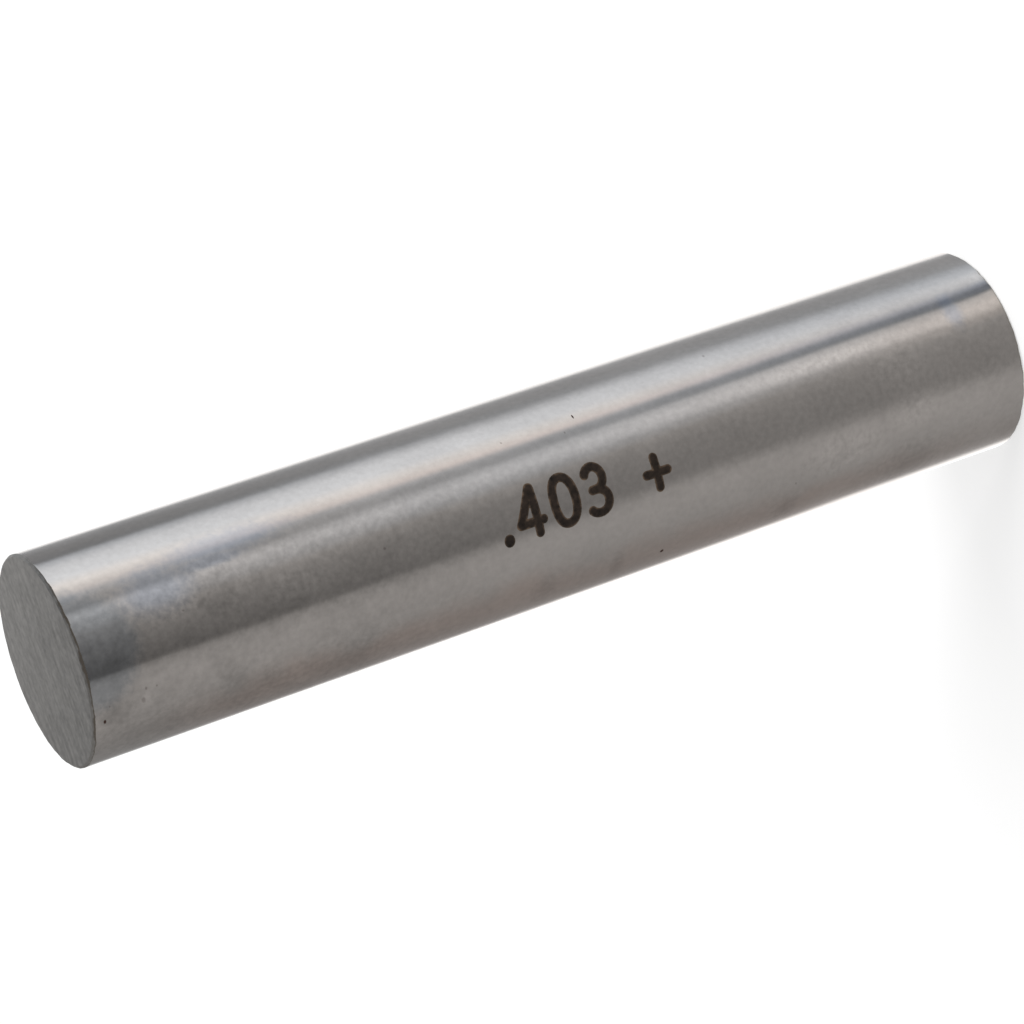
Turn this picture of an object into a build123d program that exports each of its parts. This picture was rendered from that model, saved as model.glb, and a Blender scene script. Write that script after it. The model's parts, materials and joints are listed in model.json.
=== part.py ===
from build123d import *
import os

# A plain pin gauge: one hardened steel cylinder, ground and lapped to size, with two flat
# square ends and a small edge break round each of them. It stands on its lower end. The origin
# is the centre of that end and +Z runs along the axis to the upper end.

# Driving dimensions, in millimetres. The real sizes of the pin are given in inches.
inch = 25.4
nominal_diameter = 0.403 * inch
length = 2.0 * inch

# The edge break is a 45 degree chamfer, taken off by stoning the sharp ground edge. The lapping
# that follows rounds its two corners, so that nothing catches on the bore being measured.
edge_break = 0.005 * inch
stoned_corner_radius = 0.05

radius = nominal_diameter / 2
end_face_radius = radius - edge_break
gauging_start = edge_break
gauging_end = length - edge_break

os.makedirs("parts", exist_ok=True)

# The half section runs out along the lower end, up the gauging surface and back along the upper
# end. Turning it once about the axis gives the whole pin.
with BuildPart() as gauge_pin:
    with BuildSketch(Plane.XZ) as half_section:
        with BuildLine():
            Polyline(
                (0, 0),
                (end_face_radius, 0),
                (radius, gauging_start),
                (radius, gauging_end),
                (end_face_radius, length),
                (0, length),
                close=True,
            )
        make_face()
        stoned_corners = half_section.vertices().filter_by(lambda corner: corner.X > 0)
        fillet(stoned_corners, radius=stoned_corner_radius)
    revolve(axis=Axis.Z)

gauge_pin.part.label = "gauge_pin"
export_step(gauge_pin.part, "parts/gauge_pin.step")

print("gauge_pin diameter", round(2 * radius, 4), "mm, length", round(length, 3), "mm")
print("gauging surface", round(gauging_end - gauging_start, 3), "mm long")
print("volume", round(gauge_pin.part.volume, 2), "mm3, solids", len(gauge_pin.part.solids()))
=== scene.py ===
# %% [markdown]
# # A ground steel pin gauge
#
# A pin gauge is the plainest of measuring tools: one hardened steel cylinder, ground and lapped to
# its size, with two flat square ends. There is nothing to assemble, so this lesson is about surface:
# how grinding lines, an old film of oil, a burnt-in size mark and the panels of a studio make plain
# steel look like steel. All lengths are in metres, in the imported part's own frame. The pin stands on
# its lower end, and its size mark faces -Y.

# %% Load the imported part
import json
import math

import bmesh
import bpy
from mathutils import Matrix, Vector


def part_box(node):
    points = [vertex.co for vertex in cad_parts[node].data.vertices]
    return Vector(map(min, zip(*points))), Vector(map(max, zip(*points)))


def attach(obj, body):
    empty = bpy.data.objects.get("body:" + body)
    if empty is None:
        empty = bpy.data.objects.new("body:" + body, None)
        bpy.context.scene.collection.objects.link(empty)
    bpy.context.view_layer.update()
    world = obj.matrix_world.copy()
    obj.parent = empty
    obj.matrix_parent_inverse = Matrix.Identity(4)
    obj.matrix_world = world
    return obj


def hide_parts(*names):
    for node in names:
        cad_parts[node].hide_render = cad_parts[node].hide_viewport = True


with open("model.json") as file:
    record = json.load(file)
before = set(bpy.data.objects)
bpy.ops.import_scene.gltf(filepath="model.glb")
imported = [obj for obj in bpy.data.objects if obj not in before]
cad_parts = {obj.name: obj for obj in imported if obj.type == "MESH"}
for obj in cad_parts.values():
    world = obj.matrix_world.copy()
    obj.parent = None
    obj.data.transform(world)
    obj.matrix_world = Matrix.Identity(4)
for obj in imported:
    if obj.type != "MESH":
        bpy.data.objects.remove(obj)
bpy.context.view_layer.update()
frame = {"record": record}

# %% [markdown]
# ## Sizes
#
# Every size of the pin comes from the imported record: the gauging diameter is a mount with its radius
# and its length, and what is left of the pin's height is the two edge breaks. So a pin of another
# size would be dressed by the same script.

mm = 0.001
node = "gauge_pin"
foot_corner, top_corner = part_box(node)
length = top_corner.z - foot_corner.z
mounts = {mount["name"]: mount for mount in frame["record"]["mounts"]}
gauging = mounts["gauging_diameter"]["dims"]
radius = gauging["r_mm"] * mm
edge_break = (length - gauging["length_mm"] * mm) / 2
print(f"pin: radius {radius / mm:.3f} mm, length {length / mm:.2f} mm, edge break {edge_break / mm:.2f} mm")

# %% [markdown]
# ## Directions round the pin
#
# Marks and stains could be placed by coordinates, but an inspector would describe them as so far down
# from the upper end, and so far round from the side that faces the camera. So does this script. Turns
# are in degrees and grow towards -X.

# %% Directions round the pin
camera_bearing = math.radians(6.6)
up_axis = Vector((0.0, 0.0, 1.0))


def level_direction(turn):
    """The level direction that is this many degrees round from the camera's side."""
    angle = math.radians(turn) - camera_bearing
    return Vector((-math.sin(angle), -math.cos(angle), 0.0))


def arc_of(turn):
    """Millimetres round the surface for a turn in degrees."""
    return math.radians(turn) * radius / mm


print("camera's side:", [round(c, 3) for c in level_direction(0.0)])
print("one degree round:", round(arc_of(1.0), 3), "mm")

# %% [markdown]
# ## Writing node trees as sums
#
# A node tree could be drawn by hand in the editor, or made node by node and link by link in a script,
# but neither reads like the sum that it is. Here geometry trees and shader trees are built by one
# small class. `Graph.add` makes any node: its settings go first, because they decide which sockets it
# has, and then its values or links. `Value` wraps one output socket, and arithmetic on it adds Math
# nodes, so `1 - mask` works as it reads.

# %% A small class for node trees
class Value:
    """One output socket of a node. Arithmetic on it adds Math nodes to the same tree."""

    def __init__(self, graph, socket):
        self.graph = graph
        self.socket = socket

    def maths(self, operation, *others):
        """A Math node that takes this value first."""
        return self.graph.add("ShaderNodeMath", {"operation": operation}, [self, *others])

    def maths_after(self, operation, other):
        """A Math node that takes this value last."""
        return self.graph.add("ShaderNodeMath", {"operation": operation}, [other, self])

    def __add__(self, other):
        return self.maths("ADD", other)

    def __sub__(self, other):
        return self.maths("SUBTRACT", other)

    def __rsub__(self, other):
        return self.maths_after("SUBTRACT", other)

    def __mul__(self, other):
        return self.maths("MULTIPLY", other)

    def __truediv__(self, other):
        return self.maths("DIVIDE", other)

    def __pow__(self, other):
        return self.maths("POWER", other)

    __radd__ = __add__
    __rmul__ = __mul__


def fill(socket, value):
    """Sets a socket's own value. A colour is written as three numbers and gets its alpha here."""
    if socket.type == "RGBA" and len(value) == 3:
        value = (*value, 1.0)
    socket.default_value = value


class Graph:
    """A node tree that is written line by line."""

    def __init__(self, tree):
        self.tree = tree

    def add(self, kind, settings=None, values=None, out=None):
        """Makes a node and gives its output that is named out, or else its first one."""
        made = self.tree.nodes.new(kind)
        for name, setting in (settings or {}).items():
            setattr(made, name, setting)
        live = [socket for socket in made.inputs if socket.enabled]
        if isinstance(values, dict):
            pairs = [(next(s for s in live if s.name == name), v) for name, v in values.items()]
        else:
            pairs = list(zip(live, values or []))
        for socket, value in pairs:
            if isinstance(value, Value):
                self.tree.links.new(value.socket, socket)
            else:
                fill(socket, value)
        shown = [socket for socket in made.outputs if socket.enabled]
        return Value(self, next(s for s in shown if out in (None, s.name)))

    def split(self, vector):
        """The three numbers of a vector."""
        first = self.add("ShaderNodeSeparateXYZ", None, [vector])
        return [Value(self, socket) for socket in first.socket.node.outputs]

    def join(self, x, y, z=0.0):
        """A vector from its three numbers."""
        return self.add("ShaderNodeCombineXYZ", None, [x, y, z])

    def vectors(self, operation, *values):
        """A sum, difference or product of vectors."""
        return self.add("ShaderNodeVectorMath", {"operation": operation}, values)

    def scaled(self, vector, share):
        """A vector or a colour times a number."""
        return self.add("ShaderNodeVectorMath", {"operation": "SCALE"}, {"Vector": vector, "Scale": share})

    def smooth(self, value, low, high):
        """0 at low, 1 at high, and an S between them. It falls where low is above high."""
        settings = {"interpolation_type": "SMOOTHSTEP"}
        return self.add("ShaderNodeMapRange", settings, [value, low, high, 0.0, 1.0])

    def blend(self, factor, first, second):
        """Mixes two colours."""
        return self.add("ShaderNodeMix", {"data_type": "RGBA"}, [factor, first, second])

    def noise(self, place, cell, detail=2.0):
        """Noise about 0, with cells of this size in mm along x, y and z. The place is in metres."""
        per_metre = tuple(1 / (side * mm) for side in cell)
        values = {"Vector": self.vectors("MULTIPLY", place, per_metre), "Scale": 1.0, "Detail": detail}
        return self.add("ShaderNodeTexNoise", None, values) - 0.5


# %% Geometry trees with named inputs
def new_tree(name, inputs):
    """A geometry tree with named inputs, its graph, and each input's value."""
    tree = bpy.data.node_groups.new(name, "GeometryNodeTree")
    tree.interface.new_socket("Geometry", in_out="INPUT", socket_type="NodeSocketGeometry")
    tree.interface.new_socket("Geometry", in_out="OUTPUT", socket_type="NodeSocketGeometry")
    for label, kind in inputs.items():
        tree.interface.new_socket(label, in_out="INPUT", socket_type="NodeSocket" + kind)
    graph = Graph(tree)
    start = tree.nodes.new("NodeGroupInput")
    taken = {socket.name: Value(graph, socket) for socket in start.outputs if socket.name}
    return graph, taken


def end_tree(graph, geometry, material):
    """Ends a tree: its instances become real, it takes its material, and it is given out."""
    real = graph.add("GeometryNodeRealizeInstances", None, [geometry])
    coated = graph.add("GeometryNodeSetMaterial", None, {"Geometry": real, "Material": material})
    out = graph.tree.nodes.new("NodeGroupOutput")
    graph.tree.links.new(coated.socket, out.inputs[0])
    return out


def curve_source(name, paths):
    """A curve object with one open spline of straight runs for each list of flat (x, y) points."""
    data = bpy.data.curves.new(name, "CURVE")
    data.dimensions = "3D"
    for path in paths:
        spline = data.splines.new("POLY")
        spline.points.add(len(path) - 1)
        for point, (x, y) in zip(spline.points, path):
            point.co = (x, y, 0.0, 1.0)
    made = bpy.data.objects.new(name, data)
    bpy.context.scene.collection.objects.link(made)
    return made


def grown(name, source, graph, sizes):
    """Runs a tree on source with these sizes, and gives the result as a plain mesh object."""
    modifier = source.modifiers.new(graph.tree.name, "NODES")
    modifier.node_group = graph.tree
    for item in graph.tree.interface.items_tree:
        if item.in_out == "INPUT" and item.name in sizes:
            modifier[item.identifier] = sizes[item.name]
    evaluated = source.evaluated_get(bpy.context.evaluated_depsgraph_get())
    mesh = bpy.data.meshes.new_from_object(evaluated)
    bpy.data.objects.remove(source)
    mesh.name = name
    made = bpy.data.objects.new(name, mesh)
    bpy.context.scene.collection.objects.link(made)
    # the source had no material, and its empty slot comes first
    while mesh.materials[0] is None:
        mesh.materials.pop(index=0)
    print(f"{name}: {len(mesh.vertices)} vertices, {len(mesh.polygons)} faces")
    return made


# %% [markdown]
# ## The turned body
#
# The real pin is ground between two wheels while it spins, so its shape is one half section turned
# about an axis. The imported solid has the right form, but its facets are wide enough to show in a
# near mirror, and its edge breaks are perfect. This piece turns the same half section in 512 steps,
# and lets each edge break wander a little, as it does when it is stoned by hand. That makes the
# uneven line round the end face. Spinning vertices in mesh code would work too, but a Geometry Nodes
# tree keeps every size as a named input.

# %% Half section of the pin
# corners this near to an edge keep the smooth shading of the edge off the flats
holding_gap = 0.12 * mm


def half_section():
    """The section's corners, as (out from the axis, height), from the lower end to the upper end."""
    inner = radius - edge_break
    lower = [
        (0.0, 0.0),
        (inner / 3, 0.0),
        (inner * 2 / 3, 0.0),
        (inner - holding_gap, 0.0),
        (inner, 0.0),
        (radius, edge_break),
        (radius, edge_break + holding_gap),
    ]
    return lower + [(r, length - z) for r, z in reversed(lower)]


print("half section:", len(half_section()), "corners")


# %% Wear of the edge breaks and the three finishes
def worn_place(graph, size, out_from_axis, height, turn):
    """Where a point of the section comes to lie, with the uneven wear close to the edge breaks."""
    # the noise is read on a circle of a metre's radius, so its cells are large, and rises with the
    # height, so that the two ends wear differently
    edge_walk = graph.join(turn.maths("COSINE"), turn.maths("SINE"), height / size["Length"] * size["Seed"])
    uneven = graph.noise(edge_walk, (120, 120, 120), 5.0)
    from_end = height.maths("MINIMUM", size["Length"] - height)
    from_side = size["Radius"] - out_from_axis
    near_edge = graph.smooth(from_end + from_side, size["Edge Zone"], size["Edge Zone"] / 2)
    growth = 1 + near_edge * size["Wear"] * uneven
    upper = height.maths("GREATER_THAN", size["Length"] / 2)
    worn_end = from_end * growth
    worn_height = worn_end + upper * (size["Length"] - 2 * worn_end)
    worn_out = size["Radius"] - from_side * growth
    return graph.join(worn_out * turn.maths("COSINE"), worn_out * turn.maths("SINE"), worn_height)


def finish_by_lean(graph, size, out):
    """Gives the other two finishes to the faces that lean away from the side."""
    lean = graph.split(graph.add("GeometryNodeInputNormal", out="True Normal"))[2].maths("ABSOLUTE")
    last = out.inputs[0]
    for label, least in (("Edge Steel", 0.1), ("End Steel", 0.995)):
        so_far = Value(graph, last.links[0].from_socket)
        coat = {"Geometry": so_far, "Selection": lean.maths("GREATER_THAN", least), "Material": size[label]}
        graph.tree.links.new(graph.add("GeometryNodeSetMaterial", None, coat).socket, last)


# %% Tree that turns a section
# points nearer to each other than this many metres become one, which closes the seam and the poles
same_point = 1e-7


def turning_tree():
    inputs = {
        "Radius": "Float",
        "Length": "Float",
        "Corner Radius": "Float",
        "Edge Zone": "Float",
        "Wear": "Float",
        "Steps": "Int",
        "Seed": "Float",
        "Side Steel": "Material",
        "End Steel": "Material",
        "Edge Steel": "Material",
    }
    graph, size = new_tree("turned_from_a_section", inputs)
    corners = {"Curve": size["Geometry"], "Count": 4, "Radius": size["Corner Radius"], "Limit Radius": True}
    rounded = graph.add("GeometryNodeFilletCurve", {"mode": "POLY"}, corners)
    rings = graph.add("GeometryNodeAttributeDomainSize", {"component": "CURVE"}, [rounded])
    columns = size["Steps"] + 1
    grid = {"Size X": 1.0, "Size Y": 1.0, "Vertices X": rings, "Vertices Y": columns}
    sheet = graph.add("GeometryNodeMeshGrid", None, grid)

    index = graph.add("GeometryNodeInputIndex")
    ring = (index / columns).maths("FLOOR")
    way_round = (index - ring * columns) / size["Steps"]
    turn = way_round * math.tau
    point = {"Geometry": rounded, "Value": graph.add("GeometryNodeInputPosition"), "Index": ring}
    section = graph.add("GeometryNodeSampleIndex", {"data_type": "FLOAT_VECTOR"}, point)
    out_from_axis, height, _ = graph.split(section)
    place = worn_place(graph, size, out_from_axis, height, turn)
    skin = graph.add("GeometryNodeSetPosition", None, {"Geometry": sheet, "Position": place})

    # the grid is the pin's skin unrolled, so its own two ways make the piece's UV map
    unrolled = {"Geometry": skin, "Name": "OFBake", "Value": graph.join(way_round, ring / (rings - 1))}
    as_uv_map = {"data_type": "FLOAT2", "domain": "CORNER"}
    mapped = graph.add("GeometryNodeStoreNamedAttribute", as_uv_map, unrolled)
    closed = graph.add("GeometryNodeMergeByDistance", None, {"Geometry": mapped, "Distance": same_point})
    # the grid's faces come out looking at the axis
    outward = graph.add("GeometryNodeFlipFaces", None, [closed])
    coated = graph.add("GeometryNodeSetShadeSmooth", None, {"Geometry": outward})
    out = end_tree(graph, coated, size["Side Steel"])
    finish_by_lean(graph, size, out)
    return graph


# %% [markdown]
# ## Steel that was ground round its axis
#
# Grinding leaves fine lines round the pin, so a reflection is spread along the axis and stays sharp
# round it. Thousands of rings in a bump map would do that too, but at this size they are finer than a
# pixel and would only flicker. Anisotropy says the same of all the lines at once: with no tangent
# plugged in, the shader takes the direction round the object's own Z axis, and a quarter turn of it
# spreads the light along the pin. Handling has left a thin warm film of old oil over the steel. It is
# missing from a patch at the upper end, where a thumb has wiped it off. The steel is also browner on
# the flank that lies low in the picture.

# %% Colours of the steel
wiped_steel = (0.37, 0.37, 0.375)
filmed_steel = (0.486, 0.452, 0.427)
brown_flank_tone = (0.452, 0.374, 0.335)
blued_steel = (0.405, 0.415, 0.45)
end_face_steel = (0.424, 0.411, 0.395)
stoned_steel = (0.375, 0.36, 0.34)
# painted dark reflection for the outer corner of the edge breaks
painted_dark_rim = (0.225, 0.195, 0.165)
dried_speck = (0.05, 0.02, 0.012)


# %% Shader helpers
def new_material(name, **numbers):
    """A Principled material, its graph and its shader node, with numbers set on its own sockets."""
    material = bpy.data.materials.new(name)
    material.use_nodes = True
    shader = next(n for n in material.node_tree.nodes if n.type == "BSDF_PRINCIPLED")
    for label, number in numbers.items():
        fill(shader.inputs[label.replace("_", " ")], number)
    print("material:", name)
    return material, Graph(material.node_tree), shader


def feed(graph, shader, **values):
    """Links values to the shader's sockets."""
    for label, value in values.items():
        graph.tree.links.new(value.socket, shader.inputs[label.replace("_", " ")])


def place_on_pin(graph):
    """The point on the object, and how far down from the upper end and how far round it is, in mm."""
    place = graph.add("ShaderNodeTexCoord", out="Object")
    x, y, z = graph.split(place)
    ahead = level_direction(0.0)
    beside = level_direction(90.0)
    towards = x * ahead.x + y * ahead.y
    sideways = x * beside.x + y * beside.y
    turn = sideways.maths("ARCTAN2", towards)
    return place, (length - z) / mm, turn * (radius / mm)


def spots(graph, down, around, ragged, edge, places):
    """A mask of oval spots. Each place is mm down, degrees round, and half sizes down and round in mm."""
    mask = None
    for down_mm, turn, half_down, half_around in places:
        along = (down - down_mm) / half_down
        across = (around - arc_of(turn)) / half_around
        distance = (along * along + across * across) ** 0.5
        one = graph.smooth(distance + ragged, 1 + edge, 1 - edge)
        mask = one if mask is None else mask.maths("MAXIMUM", one)
    return mask


# %% Stains and specks, each as mm down, degrees round, and half sizes down and round in mm
wiped_patches = [
    (0.3, 1.0, 2.5, 2.7),
]
blue_patches = [
    (4.4, -17.5, 1.5, 1.0),
    (8.2, -29.5, 2.6, 0.55),
    (7.4, -22.5, 1.6, 0.3),
    (48.0, -23.3, 0.45, 0.9),
]
pale_patches = [
    (4.6, -6.0, 1.8, 0.8),
    (7.4, -21.5, 1.5, 0.5),
    (11.0, 2.0, 1.6, 0.7),
    (40.0, -19.5, 4.5, 0.45),
    (44.0, -2.0, 1.6, 1.0),
    (44.3, 22.0, 1.4, 0.9),
    (40.2, 33.0, 2.2, 1.1),
    (50.3, -36.0, 0.5, 0.7),
    (2.75, 36.5, 0.3, 0.35),
]
grey_patches = [
    (1.5, 9.0, 0.3, 0.25),
    (1.3, 39.0, 0.8, 0.7),
    (2.8, 60.0, 2.6, 1.0),
    (7.3, -6.0, 1.0, 1.0),
    (7.5, 53.0, 1.5, 1.0),
    (12.0, 62.5, 3.6, 1.2),
    (23.3, 57.2, 0.7, 0.7),
    (27.4, 61.9, 0.3, 0.9),
    (36.9, 60.1, 0.5, 0.6),
    (43.9, 62.0, 1.6, 1.3),
]
specks = [
    (0.58, 41.4, 0.065, 0.11),
    (29.93, 59.8, 0.095, 0.11),
    (27.0, -35.4, 0.04, 0.12),
]
faint_specks = [
    (2.52, 36.2, 0.10, 0.14),
    (2.71, 30.0, 0.05, 0.08),
    (3.23, 30.5, 0.04, 0.05),
    (0.87, 33.3, 0.03, 0.05),
    (26.18, -27.5, 0.04, 0.06),
    (34.92, -47.2, 0.05, 0.07),
    (5.30, -2.2, 0.05, 0.05),
    (15.45, 0.9, 0.06, 0.06),
    (37.30, 42.7, 0.04, 0.07),
    (23.04, -33.7, 0.04, 0.05),
]


# %% Steel round the side
def side_steel():
    constants = {"Metallic": 1.0, "Anisotropic": 1.0, "Anisotropic_Rotation": 0.25}
    material, graph, shader = new_material("ground_side_steel", **constants)
    place, down, around = place_on_pin(graph)
    grinding = graph.noise(place, (2.5, 2.5, 0.09), 3.0)
    grain = graph.noise(place, (0.3, 0.3, 0.3), 3.0)
    blotch = graph.noise(place, (1.0, 1.0, 1.0), 5.0)
    cloud = graph.noise(place, (3.0, 3.0, 3.0), 4.0)
    ragged = (grain + cloud) * 0.9

    wiped = spots(graph, down, around, ragged * 0.35, 0.2, wiped_patches)
    blued = spots(graph, down, around, ragged, 0.6, blue_patches)
    paled = spots(graph, down, around, ragged, 0.6, pale_patches)
    greyed = spots(graph, down, around, ragged, 0.8, grey_patches)
    dirt = spots(graph, down, around, grain * 0.6, 0.35, specks)
    faint = spots(graph, down, around, grain * 0.6, 0.5, faint_specks)

    # the side that fingers hold, its stretch near the upper end, the band that the size mark lies in,
    # and the browner flank that lies low in the picture. None of them reaches round to the back.
    before_back = graph.smooth(around + cloud * 4.0, arc_of(130.0), arc_of(85.0))
    held_side = graph.smooth(around, arc_of(-34.0), arc_of(-12.0)) * before_back
    handled = graph.smooth(down, 26.0, 10.0) * held_side
    marked_side = graph.smooth(around, arc_of(26.0), arc_of(14.0)) * held_side
    low_side = graph.smooth(around + cloud * 2.5, arc_of(38.0), arc_of(60.0)) * before_back
    brown_flank = low_side * graph.smooth(down + cloud * 14.0, 56.0, 36.0) * graph.smooth(down, 1.5, 8.0)

    colour = graph.blend(wiped, filmed_steel, wiped_steel)
    colour = graph.blend(brown_flank * 0.85, colour, brown_flank_tone)
    colour = graph.blend(blued * 0.8, colour, blued_steel)
    speckle = grain * (0.22 + handled * 0.12 + marked_side * (0.17 + handled * 0.07))
    mottle = cloud * 0.25 + blotch * (0.08 + handled * 0.24) + speckle
    colour = graph.scaled(colour, 1 + mottle + paled * (0.08 + grain * 0.3) - greyed * 0.15)
    colour = graph.blend((dirt + faint * 0.35).maths("MINIMUM", 1.0), colour, dried_speck)
    rough = 0.15 + cloud * 0.05 + blotch * (0.05 + handled * 0.09) + dirt * 0.4
    relief = {"Strength": 1.0, "Distance": 0.0010 * mm, "Height": grinding * 0.1 + grain * 0.28}
    bump = graph.add("ShaderNodeBump", None, relief)
    feed(graph, shader, Base_Color=colour, Roughness=rough, Metallic=1 - dirt * 0.9, Normal=bump)
    return material


# %% [markdown]
# ## Steel of the ends and of the edge breaks
#
# The ends are ground flat on a wheel that passes straight over them, so their lines are straight and
# the finish is coarser: a grey that hardly mirrors, with painted shade that darkens it towards one
# side. Waves would draw such lines too evenly, so they are noise whose cells are stretched one way.
# The edge break was taken off with a stone and never polished. It is dull. Its outer corner carries a
# painted dark reflection on the side that faces the camera, and a painted highlight on one flank.

# %% Steel of the ends and edges
def end_steel():
    material, graph, shader = new_material("ground_end_steel_with_painted_shade", Metallic=1.0)
    to_lines = {
        "Vector": graph.add("ShaderNodeTexCoord", out="Object"),
        "Rotation": (0.0, 0.0, -camera_bearing - math.radians(3.0)),
    }
    place = graph.add("ShaderNodeMapping", None, to_lines)
    streaks = graph.noise(place, (1.7, 0.34, 1.0), 3.0)
    wide_streaks = graph.noise(place, (3.0, 1.0, 1.0), 3.0)
    mottle = graph.noise(place, (0.3, 0.3, 0.3), 2.0)
    x, y, _ = graph.split(graph.add("ShaderNodeTexCoord", out="Object"))
    # painted shade: the end faces are a little darker towards one side
    painted_shade_direction = level_direction(53.0) * (0.17 / radius)
    painted_side_shade = x * painted_shade_direction.x + y * painted_shade_direction.y
    shade = 1 + streaks * 0.75 + wide_streaks * 0.4 + mottle * 0.7 - painted_side_shade
    colour = graph.scaled(end_face_steel, shade)
    bump = graph.add("ShaderNodeBump", None, {"Strength": 1.0, "Distance": 0.003 * mm, "Height": streaks})
    feed(graph, shader, Base_Color=colour, Roughness=0.44 + wide_streaks * 0.2, Normal=bump)
    return material


def edge_steel():
    material, graph, shader = new_material("stoned_edge_steel_with_painted_reflections", Metallic=1.0)
    place = graph.add("ShaderNodeTexCoord", out="Object")
    x, y, _ = graph.split(place)
    inward = (radius - (x * x + y * y) ** 0.5) / mm
    nicks = graph.noise(place, (0.35, 0.35, 0.2), 4.0)
    edge_blotch_noise = graph.noise(place, (1.6, 1.6, 1.6), 3.0)
    bump = graph.add("ShaderNodeBump", None, {"Strength": 1.0, "Distance": 0.02 * mm, "Height": nicks})
    # painted reflections on the outer corner: dark on the side that faces the camera, a highlight on one
    # flank
    dark_rim_side = level_direction(12.0) / radius
    rim_highlight_side = level_direction(-80.0) / radius
    dark_rim_facing = graph.smooth(x * dark_rim_side.x + y * dark_rim_side.y, 0.0, 0.9)
    painted_rim_highlight = graph.smooth(x * rim_highlight_side.x + y * rim_highlight_side.y, 0.75, 1.0)
    # painted dark reflection along the outer corner, with a ragged inner edge
    painted_dark_rim_mask = graph.smooth(inward + nicks * 0.12 + edge_blotch_noise * 0.24, 0.080, 0.025) * dark_rim_facing
    # the stoned colour, with a painted highlight on one flank
    stoned_and_highlit = graph.scaled(stoned_steel, 1 + nicks * 0.8 + edge_blotch_noise * 0.6 + painted_rim_highlight * 0.45)
    colour = graph.blend(painted_dark_rim_mask, stoned_and_highlit, painted_dark_rim)
    feed(graph, shader, Base_Color=colour, Roughness=0.45 + nicks * 0.3, Normal=bump)
    return material


# %% Make the body
stoned_corner = 0.05 * mm
body_sizes = {
    "Radius": radius,
    "Length": length,
    "Corner Radius": stoned_corner,
    "Edge Zone": 5 * edge_break,
    "Wear": 1.2,
    "Steps": 512,
    "Seed": 3.0,
    "Side Steel": side_steel(),
    "End Steel": end_steel(),
    "Edge Steel": edge_steel(),
}
body = grown("pin_body", curve_source("half_section", [half_section()]), turning_tree(), body_sizes)
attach(body, "root")
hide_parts(node)

# %% [markdown]
# ## The size mark
#
# The size is burnt into the skin of the pin by a fine beam that draws each stroke once, at one width
# and with round ends. It leaves a dark oxide that stands a few thousandths of a millimetre proud and
# is brown where it thins out. Text in a font would have other strokes, and a pattern in the steel's
# material would have no edge. So each figure is drawn here by its centre lines alone, in millimetres
# down the pin and round it, and a Geometry Nodes tree grows the oxide round them: it lays out a fine
# grid, keeps what lies within half a stroke of a line, pulls the border onto the exact width, bends
# the sheet round the pin and closes it underneath.

# %% Centre lines of the figures
def oval(centre, half_wide, half_high, start=0.0, end=360.0, squareness=2.0, steps=40):
    """Part of an oval. Angles run clockwise from its top, and squareness above 2 fills its corners."""
    points = []
    for k in range(steps + 1):
        angle = math.radians(start + (end - start) * k / steps)
        across = math.sin(angle)
        up = math.cos(angle)
        reach = (abs(across) ** squareness + abs(up) ** squareness) ** (-1 / squareness)
        points.append((centre[0] + half_wide * across * reach, centre[1] - half_high * up * reach))
    return points


stroke_width = 0.49
size_mark_strokes = [
    oval((21.605, 1.65), 0.05, 0.085),
    [(23.54, 1.15), (22.34, 1.15), (23.20, -0.45), (23.24, -0.45), (23.24, 1.73)],
    oval((24.83, 0.645), 0.57, 1.108, squareness=2.3),
    oval((26.55, 0.083), 0.457, 0.546, -63.0, 150.0) + [(26.68, 0.615), (26.34, 0.635)],
    oval((26.54, 1.196), 0.543, 0.562, 0.0, 230.0, squareness=2.1),
    [(29.83, 0.07), (29.83, 1.535)],
    [(29.26, 0.807), (30.40, 0.807)],
]
print("size mark:", len(size_mark_strokes), "strokes", stroke_width, "mm wide")


# %% Sheet that the mark is cut from
def sheet_over(graph, lines, margin, step):
    """A flat grid with this step that covers the lines and a margin round them."""
    low = graph.add("GeometryNodeBoundBox", None, [lines], out="Min")
    high = graph.add("GeometryNodeBoundBox", None, [lines], out="Max")
    low_down, low_around, _ = graph.split(low)
    high_down, high_around, _ = graph.split(high)
    wide = high_down - low_down + margin * 2
    tall = high_around - low_around + margin * 2
    grid = {"Size X": wide, "Size Y": tall, "Vertices X": wide / step, "Vertices Y": tall / step}
    sheet = graph.add("GeometryNodeMeshGrid", None, grid)
    middle = graph.join((low_down + high_down) / 2, (low_around + high_around) / 2)
    return graph.add("GeometryNodeSetPosition", None, {"Geometry": sheet, "Offset": middle})


# %% Tree that grows a mark round its centre lines
# as for the pin's seam, but wide enough to take in the slivers where two strokes meet
closing_reach = 1.6e-6


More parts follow.
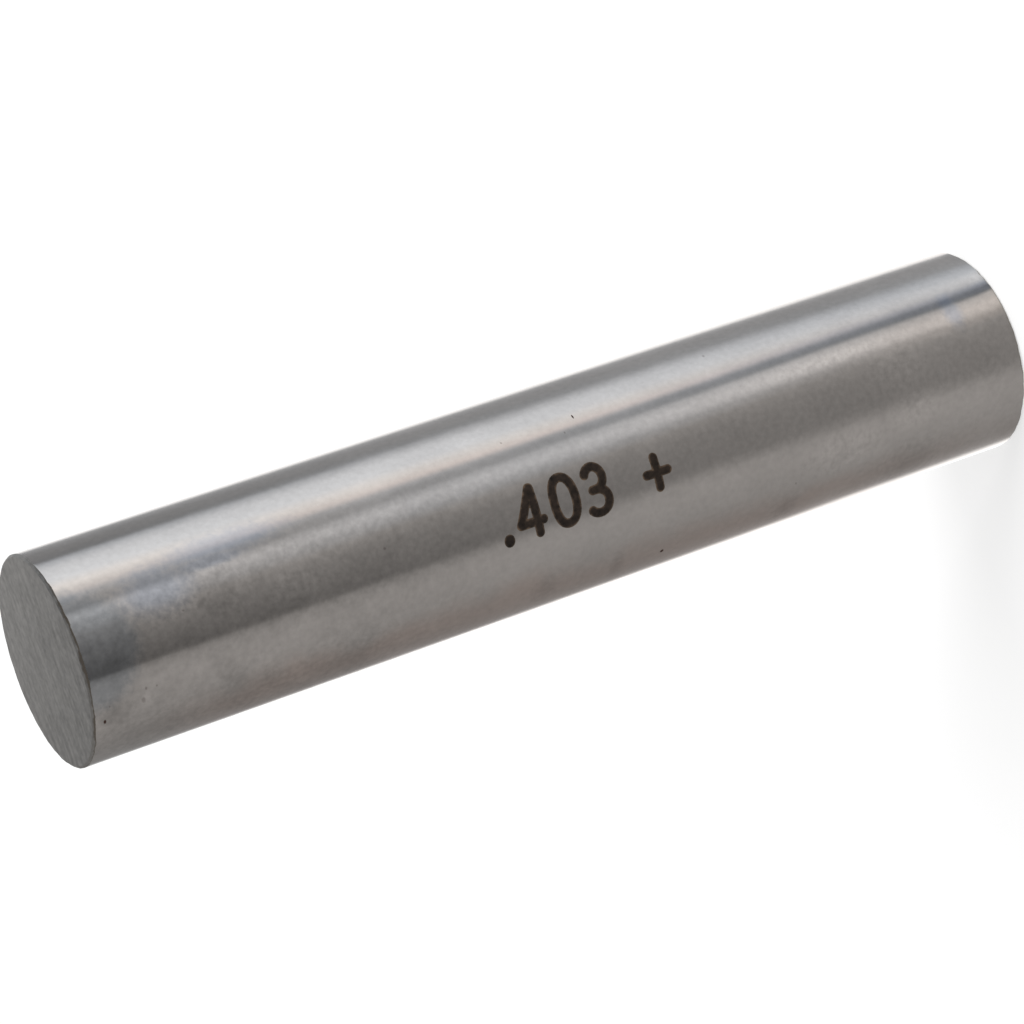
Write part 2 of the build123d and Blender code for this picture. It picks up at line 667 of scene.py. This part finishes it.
def mark_tree():
    inputs = {
        "Radius": "Float",
        "Length": "Float",
        "Bearing": "Float",
        "Stroke Width": "Float",
        "Stands Proud": "Float",
        "Sunk": "Float",
        "Grid Step": "Float",
        "Oxide": "Material",
    }
    graph, size = new_tree("mark_round_its_centre_lines", inputs)
    step = size["Grid Step"]
    lines = graph.add("GeometryNodeCurveToMesh", None, {"Curve": size["Geometry"]})
    laid = sheet_over(graph, lines, size["Stroke Width"], step)

    place = graph.add("GeometryNodeInputPosition")
    near = {"Geometry": lines}
    nearest = graph.add("GeometryNodeProximity", {"target_element": "EDGES"}, near, out="Position")
    distance = graph.add("GeometryNodeProximity", {"target_element": "EDGES"}, near, out="Distance")
    half_width = size["Stroke Width"] / 2 * (1 + graph.noise(place, (0.12, 0.12, 1.0), 3.0) * 0.06)
    clear = {"Geometry": laid, "Selection": distance.maths("GREATER_THAN", half_width + step * 0.2)}
    kept = graph.add("GeometryNodeDeleteGeometry", {"domain": "FACE"}, clear)

    # the rim goes onto the exact width, and every other point stays at least half a step inside it
    one_face = graph.add("GeometryNodeInputMeshEdgeNeighbors").maths("LESS_THAN", 1.5)
    told = {"Geometry": kept, "Name": "rim", "Value": one_face}
    rimmed = graph.add("GeometryNodeStoreNamedAttribute", {"data_type": "BOOLEAN", "domain": "EDGE"}, told)
    rim = graph.add("GeometryNodeInputNamedAttribute", {"data_type": "BOOLEAN"}, ["rim"])
    inside = distance.maths("MINIMUM", half_width - step * 0.5)
    reach = inside + rim * (half_width - inside)
    away = graph.vectors("SUBTRACT", place, nearest)
    drawn_in = graph.vectors("ADD", nearest, graph.scaled(away, reach / distance))
    flat = graph.add("GeometryNodeSetPosition", None, {"Geometry": rimmed, "Position": drawn_in})
    share = {"Geometry": flat, "Name": "across_stroke", "Value": distance / half_width}
    shared = graph.add("GeometryNodeStoreNamedAttribute", {"data_type": "FLOAT", "domain": "POINT"}, share)

    across = graph.add("GeometryNodeInputNamedAttribute", {"data_type": "FLOAT"}, ["across_stroke"])
    dome = (1 - rim) * (1 - across.maths("MINIMUM", 1.0) ** 8.0)
    flat_down, flat_around, _ = graph.split(place)
    turn = flat_around / size["Radius"] - size["Bearing"]

    def bent(lift):
        """The flat sheet wrapped round the pin, this far above its surface."""
        out = size["Radius"] + lift
        x = turn.maths("SINE") * out * -1
        y = turn.maths("COSINE") * out * -1
        wrapped = graph.join(x, y, size["Length"] - flat_down)
        return graph.add("GeometryNodeSetPosition", None, {"Geometry": shared, "Position": wrapped})

    # the upper skin meets the one underneath along the rim, where both are sunk into the steel
    upper = bent(dome * (size["Stands Proud"] + size["Sunk"]) - size["Sunk"])
    upper = graph.add("GeometryNodeFlipFaces", None, [upper])
    under = bent(size["Sunk"] * -1)
    both = graph.add("GeometryNodeJoinGeometry", None, [upper])
    graph.tree.links.new(under.socket, both.socket.node.inputs[0])
    closed = graph.add("GeometryNodeMergeByDistance", None, {"Geometry": both, "Distance": closing_reach})
    smooth = graph.add("GeometryNodeSetShadeSmooth", None, {"Geometry": closed})
    end_tree(graph, smooth, size["Oxide"])
    return graph


# %% Oxide of the mark
oxide_core = (0.029, 0.0195, 0.014)
oxide_edge = (0.12, 0.08, 0.052)


def mark_oxide():
    material, graph, shader = new_material("burnt_oxide", Metallic=0.0, Specular_IOR_Level=0.2)
    across = graph.add("ShaderNodeAttribute", {"attribute_name": "across_stroke"}, out="Fac")
    place = graph.add("ShaderNodeTexCoord", out="Object")
    mottle = graph.noise(place, (0.3, 0.3, 0.3), 3.0)
    thin = graph.smooth(across + mottle * 0.6, 0.5, 1.05)
    bump = graph.add("ShaderNodeBump", None, {"Strength": 1.0, "Distance": 0.004 * mm, "Height": mottle})
    colour = graph.scaled(graph.blend(thin, oxide_core, oxide_edge), 1 + mottle * 2.4)
    feed(graph, shader, Base_Color=colour, Roughness=0.55 + mottle * 0.2, Normal=bump)
    return material


# %% Make the size mark
mark_sizes = {
    "Radius": radius,
    "Length": length,
    "Bearing": camera_bearing,
    "Stroke Width": stroke_width * mm,
    "Stands Proud": 0.006 * mm,
    "Sunk": 0.003 * mm,
    "Grid Step": 0.03 * mm,
    "Oxide": mark_oxide(),
}
mark_paths = [[(down * mm, around * mm) for down, around in stroke] for stroke in size_mark_strokes]
mark = grown("size_mark", curve_source("mark_centre_lines", mark_paths), mark_tree(), mark_sizes)
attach(mark, "root")

# %% [markdown]
# ## Camera
#
# The photograph looks down on the pin's upper end and is turned so that the pin lies across it. The
# camera could be moved by eye until the picture fits. It is quicker and closer to work its place out
# from five measured things: its focal length, how far it looks down, how far the pin rises across the
# picture, where the centre of the upper end lies in the picture, and how far away that is.

# %% Camera
picture_width = 1024
picture_centre = picture_width / 2
focal_length_in_pixels = 4091.8
sensor_width = 36.0
looking_down = math.radians(23.77)
pin_rises = math.radians(18.781)
top_centre_across, top_centre_down = 44.8, 662.29
top_centre_depth = 185.56 * mm


def add_camera():
    to_camera = level_direction(0.0) * math.cos(looking_down) + up_axis * math.sin(looking_down)
    level_right = up_axis.cross(to_camera).normalized()
    level_up = to_camera.cross(level_right)
    roll = math.radians(90.0) + pin_rises
    right = level_right * math.cos(roll) - level_up * math.sin(roll)
    up = to_camera.cross(right)
    across = (top_centre_across - picture_centre) / focal_length_in_pixels * top_centre_depth
    down = (top_centre_down - picture_centre) / focal_length_in_pixels * top_centre_depth
    top_centre = up_axis * length
    data = bpy.data.cameras.new("camera")
    data.sensor_width = sensor_width
    data.lens = focal_length_in_pixels * sensor_width / picture_width
    data.clip_start = 0.01
    data.clip_end = 20.0
    made = bpy.data.objects.new("camera", data)
    made.matrix_world = Matrix((right, up, to_camera)).transposed().to_4x4()
    made.matrix_world.translation = top_centre + to_camera * top_centre_depth - right * across + up * down
    bpy.context.scene.collection.objects.link(made)
    bpy.context.scene.camera = made
    return made


camera = add_camera()
print("camera at", [round(c, 4) for c in camera.matrix_world.translation], "lens", round(camera.data.lens, 1))

# %% [markdown]
# ## Floor, world and lamp
#
# A pale sweep of paper, an even white world and one large soft lamp: a white sheet lit by them
# renders about white, so every colour renders about as it is written. A white background could be had
# from stronger lamps, but they would bleach the steel as well. So rays from the camera, and rays that
# mirror or pass through, see the world as a brighter backdrop and the sweep with a glow of its own.
# The glow makes the paper white in the picture, and the shadow on it still shows.

# %% Floor, world and lamp
world_light = 0.65
backdrop_light = 0.9
sweep_paper = (0.55, 0.55, 0.55)
floor_glow = 0.545
floor_radius = 3.0
key_place = (0.35, -0.1, 0.6)
key_aim = (0.0, 0.0, 0.02)
key_size = 0.35
key_power = 2.2


def shown_ray(graph):
    """1 for rays from the camera and for rays that mirror or pass through, and 0 for all others."""
    shown = 0.0
    for ray in ("Is Camera Ray", "Is Glossy Ray", "Is Transmission Ray"):
        shown = graph.add("ShaderNodeLightPath", out=ray) + shown
    return shown.maths("MINIMUM", 1.0)


def add_floor():
    mesh = bpy.data.meshes.new("floor")
    disc = bmesh.new()
    bmesh.ops.create_circle(disc, cap_ends=True, segments=96, radius=floor_radius)
    disc.to_mesh(mesh)
    disc.free()
    made = bpy.data.objects.new("floor", mesh)
    bpy.context.scene.collection.objects.link(made)
    numbers = {"Base_Color": sweep_paper, "Roughness": 0.9, "Emission_Strength": 1.0}
    material, graph, shader = new_material("white_sweep", **numbers)
    glow = shown_ray(graph) * floor_glow
    feed(graph, shader, Emission_Color=graph.join(glow, glow, glow))
    mesh.materials.append(material)


def add_world():
    world = bpy.data.worlds.new("studio")
    world.use_nodes = True
    world.node_tree.nodes.clear()
    graph = Graph(world.node_tree)
    strength = world_light + shown_ray(graph) * (backdrop_light - world_light)
    light = graph.add("ShaderNodeBackground", None, {"Color": (1.0, 1.0, 1.0), "Strength": strength})
    out = world.node_tree.nodes.new("ShaderNodeOutputWorld")
    world.node_tree.links.new(light.socket, out.inputs[0])
    bpy.context.scene.world = world


def add_key_lamp():
    data = bpy.data.lights.new("key_lamp", "AREA")
    data.shape = "DISK"
    data.size = key_size
    data.energy = key_power
    made = bpy.data.objects.new("key_lamp", data)
    made.location = key_place
    made.rotation_mode = "QUATERNION"
    made.rotation_quaternion = (Vector(key_place) - Vector(key_aim)).to_track_quat("Z", "Y")
    made.visible_glossy = False
    bpy.context.scene.collection.objects.link(made)


add_floor()
add_world()
add_key_lamp()
print("world:", world_light, "key lamp:", key_power, "W, floor:", floor_radius, "m in radius")

# %% [markdown]
# ## Cards round the pin
#
# Polished steel has hardly any colour of its own: it shows its surroundings. A product studio stands
# white, grey and black cards round such a thing until its highlights run straight along it. Flat
# cards could be placed one by one, but near a long pin each edge would cross the steel at a slant. The
# cards here are one ruled surface that only mirror rays can see. Each of its ribs starts at the
# pin's foot and runs out in the direction in which that line of the pin throws the camera's view, so
# a card's edge shows as a line along the pin. Each rib has its turns on the pin, its lights and its
# tints, each of them at the upper end, half way down and at the foot.

# %% Ribs of the cards
grey = (1.0, 1.0, 1.0)
rosy = (1.06, 0.99, 0.97)
peachy = (1.03, 1.0, 0.975)
cloudy = (0.955, 0.99, 1.035)
cool = (0.925, 0.99, 1.06)
cold = (0.90, 0.99, 1.09)
dusk = (0.87, 0.98, 1.16)
ribs = [
    # white sweep behind the pin's far edge, then the grey wall above it
    ((-90, -90, -90), (1.30, 1.60, 1.60), (grey, grey, grey)),
    ((-81, -76.5, -72.5), (1.20, 1.40, 1.50), (grey, grey, grey)),
    ((-77.5, -73.5, -70.3), (0.46, 0.55, 0.60), (cloudy, cloudy, cloudy)),
    ((-68, -67.5, -67), (0.35, 0.48, 0.50), (cloudy, cloudy, cloudy)),
    ((-64, -63.5, -63), (0.34, 0.50, 0.50), (cloudy, cloudy, cloudy)),
    ((-57.2, -55.0, -53), (0.31, 0.50, 0.57), (cool, cool, cool)),
    # the large white card
    ((-55.3, -53.0, -50), (0.90, 0.72, 0.73), (cold, cool, cold)),
    ((-50, -47.5, -45), (1.28, 1.20, 0.98), (cool, cool, cold)),
    ((-41, -40, -41), (1.56, 1.27, 1.16), (cool, cool, cool)),
    ((-36, -35, -37.5), (1.62, 1.30, 0.96), (grey, grey, cool)),
    ((-32, -31.5, -34.5), (1.16, 1.25, 0.56), (grey, rosy, dusk)),
    # the gap under it, which narrows towards the pin's foot
    ((-28, -28.6, -32), (0.80, 0.69, 0.30), (cloudy, cool, dusk)),
    ((-24, -27, -30.5), (0.62, 0.59, 0.31), (grey, cool, dusk)),
    ((-20, -25, -29.5), (0.48, 0.62, 0.33), (grey, cool, cold)),
    # the narrow card
    ((-17.5, -22.5, -27.5), (0.72, 0.88, 0.84), (grey, cool, grey)),
    ((-16, -19.5, -22), (0.82, 0.97, 1.07), (grey, cool, peachy)),
    ((-13.5, -16.5, -19), (0.65, 0.91, 0.98), (grey, cool, peachy)),
    ((-10.5, -12.5, -16), (0.60, 0.63, 0.64), (grey, cool, peachy)),
    # the dark room behind the camera
    ((-6.5, -8, -11.5), (0.455, 0.45, 0.475), (grey, grey, grey)),
    ((0.4, -2.5, -5.5), (0.305, 0.355, 0.40), (grey, grey, grey)),
    ((8, 6, 4), (0.225, 0.315, 0.365), (grey, grey, grey)),
    ((16.2, 14, 11.5), (0.12, 0.30, 0.37), (grey, grey, grey)),
    # the grey table and the white sweep beyond it
    ((17.4, 18, 17.5), (0.34, 0.39, 0.445), (grey, grey, grey)),
    ((20.3, 21, 21), (0.43, 0.49, 0.53), (grey, grey, grey)),
    ((27.3, 27.3, 27.3), (0.50, 0.52, 0.55), (grey, grey, grey)),
    ((36.2, 36.2, 36.2), (0.48, 0.475, 0.505), (grey, grey, grey)),
    ((48.2, 48.2, 48.2), (0.44, 0.415, 0.45), (grey, grey, grey)),
    ((60, 59, 58), (0.37, 0.39, 0.405), (grey, grey, grey)),
    ((70, 67, 62.5), (0.33, 0.365, 0.43), (grey, grey, grey)),
    ((79.5, 76.5, 68.5), (0.29, 0.40, 0.55), (grey, grey, grey)),
    ((84.5, 78.8, 70.5), (0.55, 0.72, 0.95), (grey, grey, grey)),
    ((87.5, 81.3, 73.3), (1.10, 1.60, 1.70), (grey, grey, grey)),
    ((90, 90, 90), (1.30, 1.70, 1.75), (grey, grey, grey)),
]
# mm out from the pin and mm up, the way from foot to top that shows there, and the most light there
stations = [
    (0.03, 0.02, 0.0, 2.0),
    (18.0, 0.2, 0.2, 2.0),
    (56.0, 0.8, 0.5, 2.0),
    (105.0, 1.5, 0.75, 2.0),
    (169.0, 3.0, 1.0, 2.0),
    (178.0, 30.0, 1.0, 2.0),
    (185.0, 50.0, 1.0, 0.47),
    (260.0, 160.0, 1.0, 0.47),
    (200.0, 300.0, 1.0, 0.30),
]
print("cards:", len(ribs), "ribs")


# %% Build the cards
def card_light():
    material = bpy.data.materials.new("card_light")
    material.cycles.emission_sampling = "NONE"
    material.use_nodes = True
    material.node_tree.nodes.clear()
    graph = Graph(material.node_tree)
    colour = graph.add("ShaderNodeAttribute", {"attribute_name": "glow"}, out="Color")
    light = graph.add("ShaderNodeEmission", None, {"Color": colour, "Strength": 1.0})
    out = material.node_tree.nodes.new("ShaderNodeOutputMaterial")
    material.node_tree.links.new(light.socket, out.inputs[0])
    return material


def between(three, way):
    """The value this way up from the foot, given those at the upper end, half way and at the foot."""
    top, middle, foot = three
    if way < 0.5:
        return foot + (middle - foot) * (way * 2)
    return middle + (top - middle) * (way * 2 - 1)


def add_cards():
    cards = bmesh.new()
    glow = cards.verts.layers.float_color.new("glow")
    rows = []
    for turns, lights, tints in ribs:
        row = []
        for out, up, way, most in stations:
            turn = between(turns, way)
            light = min(between(lights, way), most)
            tint = between([Vector(tint) for tint in tints], way)
            place = level_direction(turn) * radius + level_direction(2 * turn) * out * mm
            corner = cards.verts.new(place + up_axis * up * mm)
            corner[glow] = (*(tint * light), 1.0)
            row.append(corner)
        rows.append(row)
    for first, second in zip(rows, rows[1:] + rows[:1]):
        for k in range(len(stations) - 1):
            cards.faces.new((first[k], first[k + 1], second[k + 1], second[k]))
    cards.faces.new([row[-1] for row in rows])
    bmesh.ops.subdivide_edges(cards, edges=cards.edges[:], cuts=2, use_grid_fill=True)
    mesh = bpy.data.meshes.new("reflection_cards")
    cards.to_mesh(mesh)
    cards.free()
    mesh.materials.append(card_light())
    made = bpy.data.objects.new("reflection_cards", mesh)
    bpy.context.scene.collection.objects.link(made)
    made.visible_camera = False
    made.visible_diffuse = False
    made.visible_shadow = False


add_cards()

# %% [markdown]
# ## Closing
#
# The Standard view shows each colour as it is written, where a filmic one would grey the whites. Only
# the size mark should stand proud of the imported part, by its own thickness.

# %% Colour management and the end
bpy.context.scene.view_settings.view_transform = "Standard"
